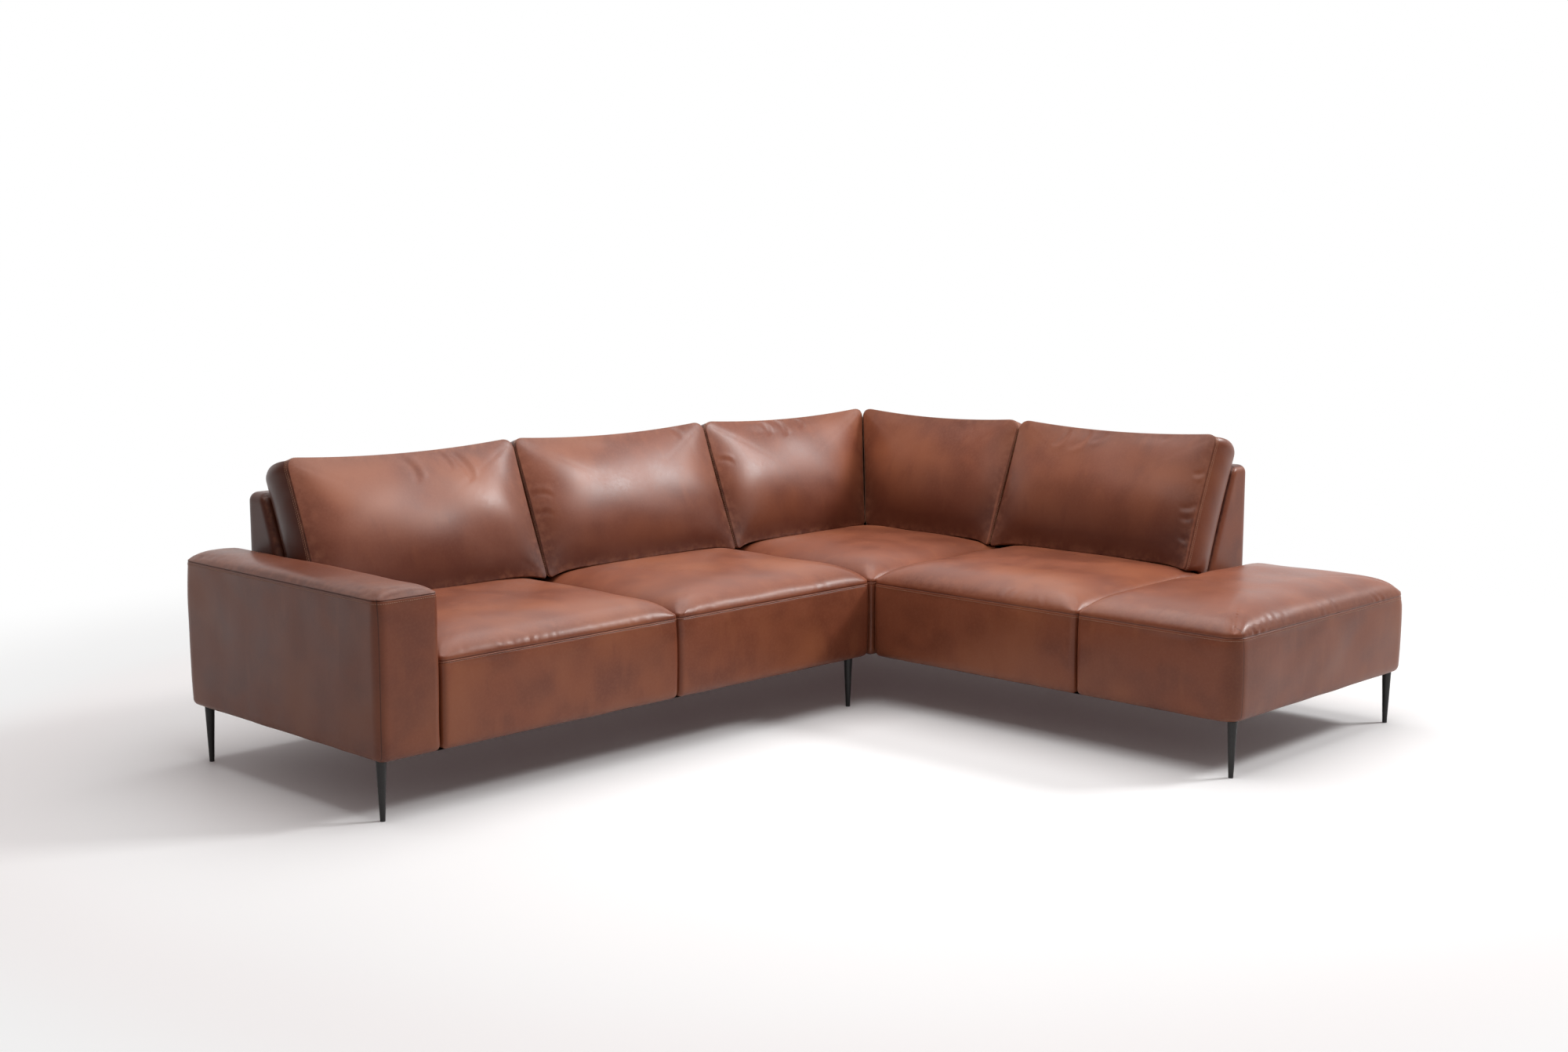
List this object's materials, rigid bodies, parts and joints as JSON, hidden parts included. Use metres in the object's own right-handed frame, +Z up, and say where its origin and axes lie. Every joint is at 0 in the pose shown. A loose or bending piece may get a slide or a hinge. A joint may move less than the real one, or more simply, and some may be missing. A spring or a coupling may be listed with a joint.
{
  "type": "corner sofa",
  "caption": "L-shaped padded corner sofa with a block arm at one end, a backless seat at the other, sloping loose back cushions and slim tapered legs.",
  "frame": {"origin": "middle of the sofa's footprint box, on the floor under the legs", "axes": "+X to the right along the wing with the arm, as a person facing the sofa's front sees it, +Y to the back, +Z up"},
  "size_m": [2.896, 2.312, 0.8813],
  "materials": {
    "leather": "satin",
    "frame_wood": "matte",
    "foam": "matte",
    "webbing": "matte",
    "lining": "matte",
    "hardware_steel": "satin",
    "glide_plastic": "matte",
    "leg_metal": "satin",
    "zip_tape": "matte",
    "zip_metal": "satin"
  },
  "bodies": {
    "sofa": {"arm_frame": "frame_wood", "arm_pad": "foam", "arm_cover": "leather", "seat_1_frame": "frame_wood", "seat_1_foam": "foam", "seat_1_cover": "leather", "seat_2_frame": "frame_wood", "seat_2_foam": "foam", "seat_2_cover": "leather", "corner_seat_frame": "frame_wood", "corner_seat_foam": "foam", "corner_seat_cover": "leather", "seat_3_frame": "frame_wood", "seat_3_foam": "foam", "seat_3_cover": "leather", "end_seat_frame": "frame_wood", "end_seat_foam": "foam", "end_seat_cover": "leather", "seat_webbing": "webbing", "left_back_frame": "frame_wood", "corner_back_frame": "frame_wood", "right_back_frame": "frame_wood", "back_foam": "foam", "left_back_cover": "leather", "corner_back_cover_left": "leather", "corner_back_cover_right": "leather", "right_back_cover": "leather", "base_lining": "lining", "link_plates": "hardware_steel", "link_screws": "hardware_steel", "leg_inserts": "hardware_steel", "leg_rear_left": "leg_metal", "leg_front_left": "leg_metal", "leg_inner_corner": "leg_metal", "leg_rear_middle": "leg_metal", "leg_outer_corner": "leg_metal", "leg_right_rear": "leg_metal", "leg_end_front": "leg_metal", "leg_end_rear": "leg_metal", "leg_glides": "glide_plastic"},
    "back_cushion_1": {"back_cushion_1_cover": "leather", "back_cushion_1_core": "foam", "back_cushion_1_zip": "zip_tape"},
    "zip_slider_1": {"back_cushion_1_slider": "zip_metal"},
    "back_cushion_2": {"back_cushion_2_cover": "leather", "back_cushion_2_core": "foam", "back_cushion_2_zip": "zip_tape"},
    "zip_slider_2": {"back_cushion_2_slider": "zip_metal"},
    "back_cushion_3": {"back_cushion_3_cover": "leather", "back_cushion_3_core": "foam", "back_cushion_3_zip": "zip_tape"},
    "zip_slider_3": {"back_cushion_3_slider": "zip_metal"},
    "back_cushion_4": {"back_cushion_4_cover": "leather", "back_cushion_4_core": "foam", "back_cushion_4_zip": "zip_tape"},
    "zip_slider_4": {"back_cushion_4_slider": "zip_metal"},
    "back_cushion_5": {"back_cushion_5_cover": "leather", "back_cushion_5_core": "foam", "back_cushion_5_zip": "zip_tape"},
    "zip_slider_5": {"back_cushion_5_slider": "zip_metal"}
  },
  "joints": [
    {"name": "lift_cushion_1", "type": "slide", "parent": "sofa", "child": "back_cushion_1", "axis": [0, 0, 1], "range_m": [0, 0.4]},
    {"name": "lift_cushion_2", "type": "slide", "parent": "sofa", "child": "back_cushion_2", "axis": [0, 0, 1], "range_m": [0, 0.4]},
    {"name": "lift_cushion_3", "type": "slide", "parent": "sofa", "child": "back_cushion_3", "axis": [0, 0, 1], "range_m": [0, 0.4]},
    {"name": "lift_cushion_4", "type": "slide", "parent": "sofa", "child": "back_cushion_4", "axis": [0, 0, 1], "range_m": [0, 0.4]},
    {"name": "lift_cushion_5", "type": "slide", "parent": "sofa", "child": "back_cushion_5", "axis": [0, 0, 1], "range_m": [0, 0.4]},
    {"name": "open_zip_1", "type": "slide", "parent": "back_cushion_1", "child": "zip_slider_1", "axis": [1, 0, 0], "range_m": [0, 0.37]},
    {"name": "open_zip_2", "type": "slide", "parent": "back_cushion_2", "child": "zip_slider_2", "axis": [1, 0, 0], "range_m": [0, 0.37]},
    {"name": "open_zip_3", "type": "slide", "parent": "back_cushion_3", "child": "zip_slider_3", "axis": [1, 0, 0], "range_m": [0, 0.37]},
    {"name": "open_zip_4", "type": "slide", "parent": "back_cushion_4", "child": "zip_slider_4", "axis": [0, -1, 0], "range_m": [0, 0.37]},
    {"name": "open_zip_5", "type": "slide", "parent": "back_cushion_5", "child": "zip_slider_5", "axis": [0, -1, 0], "range_m": [0, 0.37]}
  ]
}
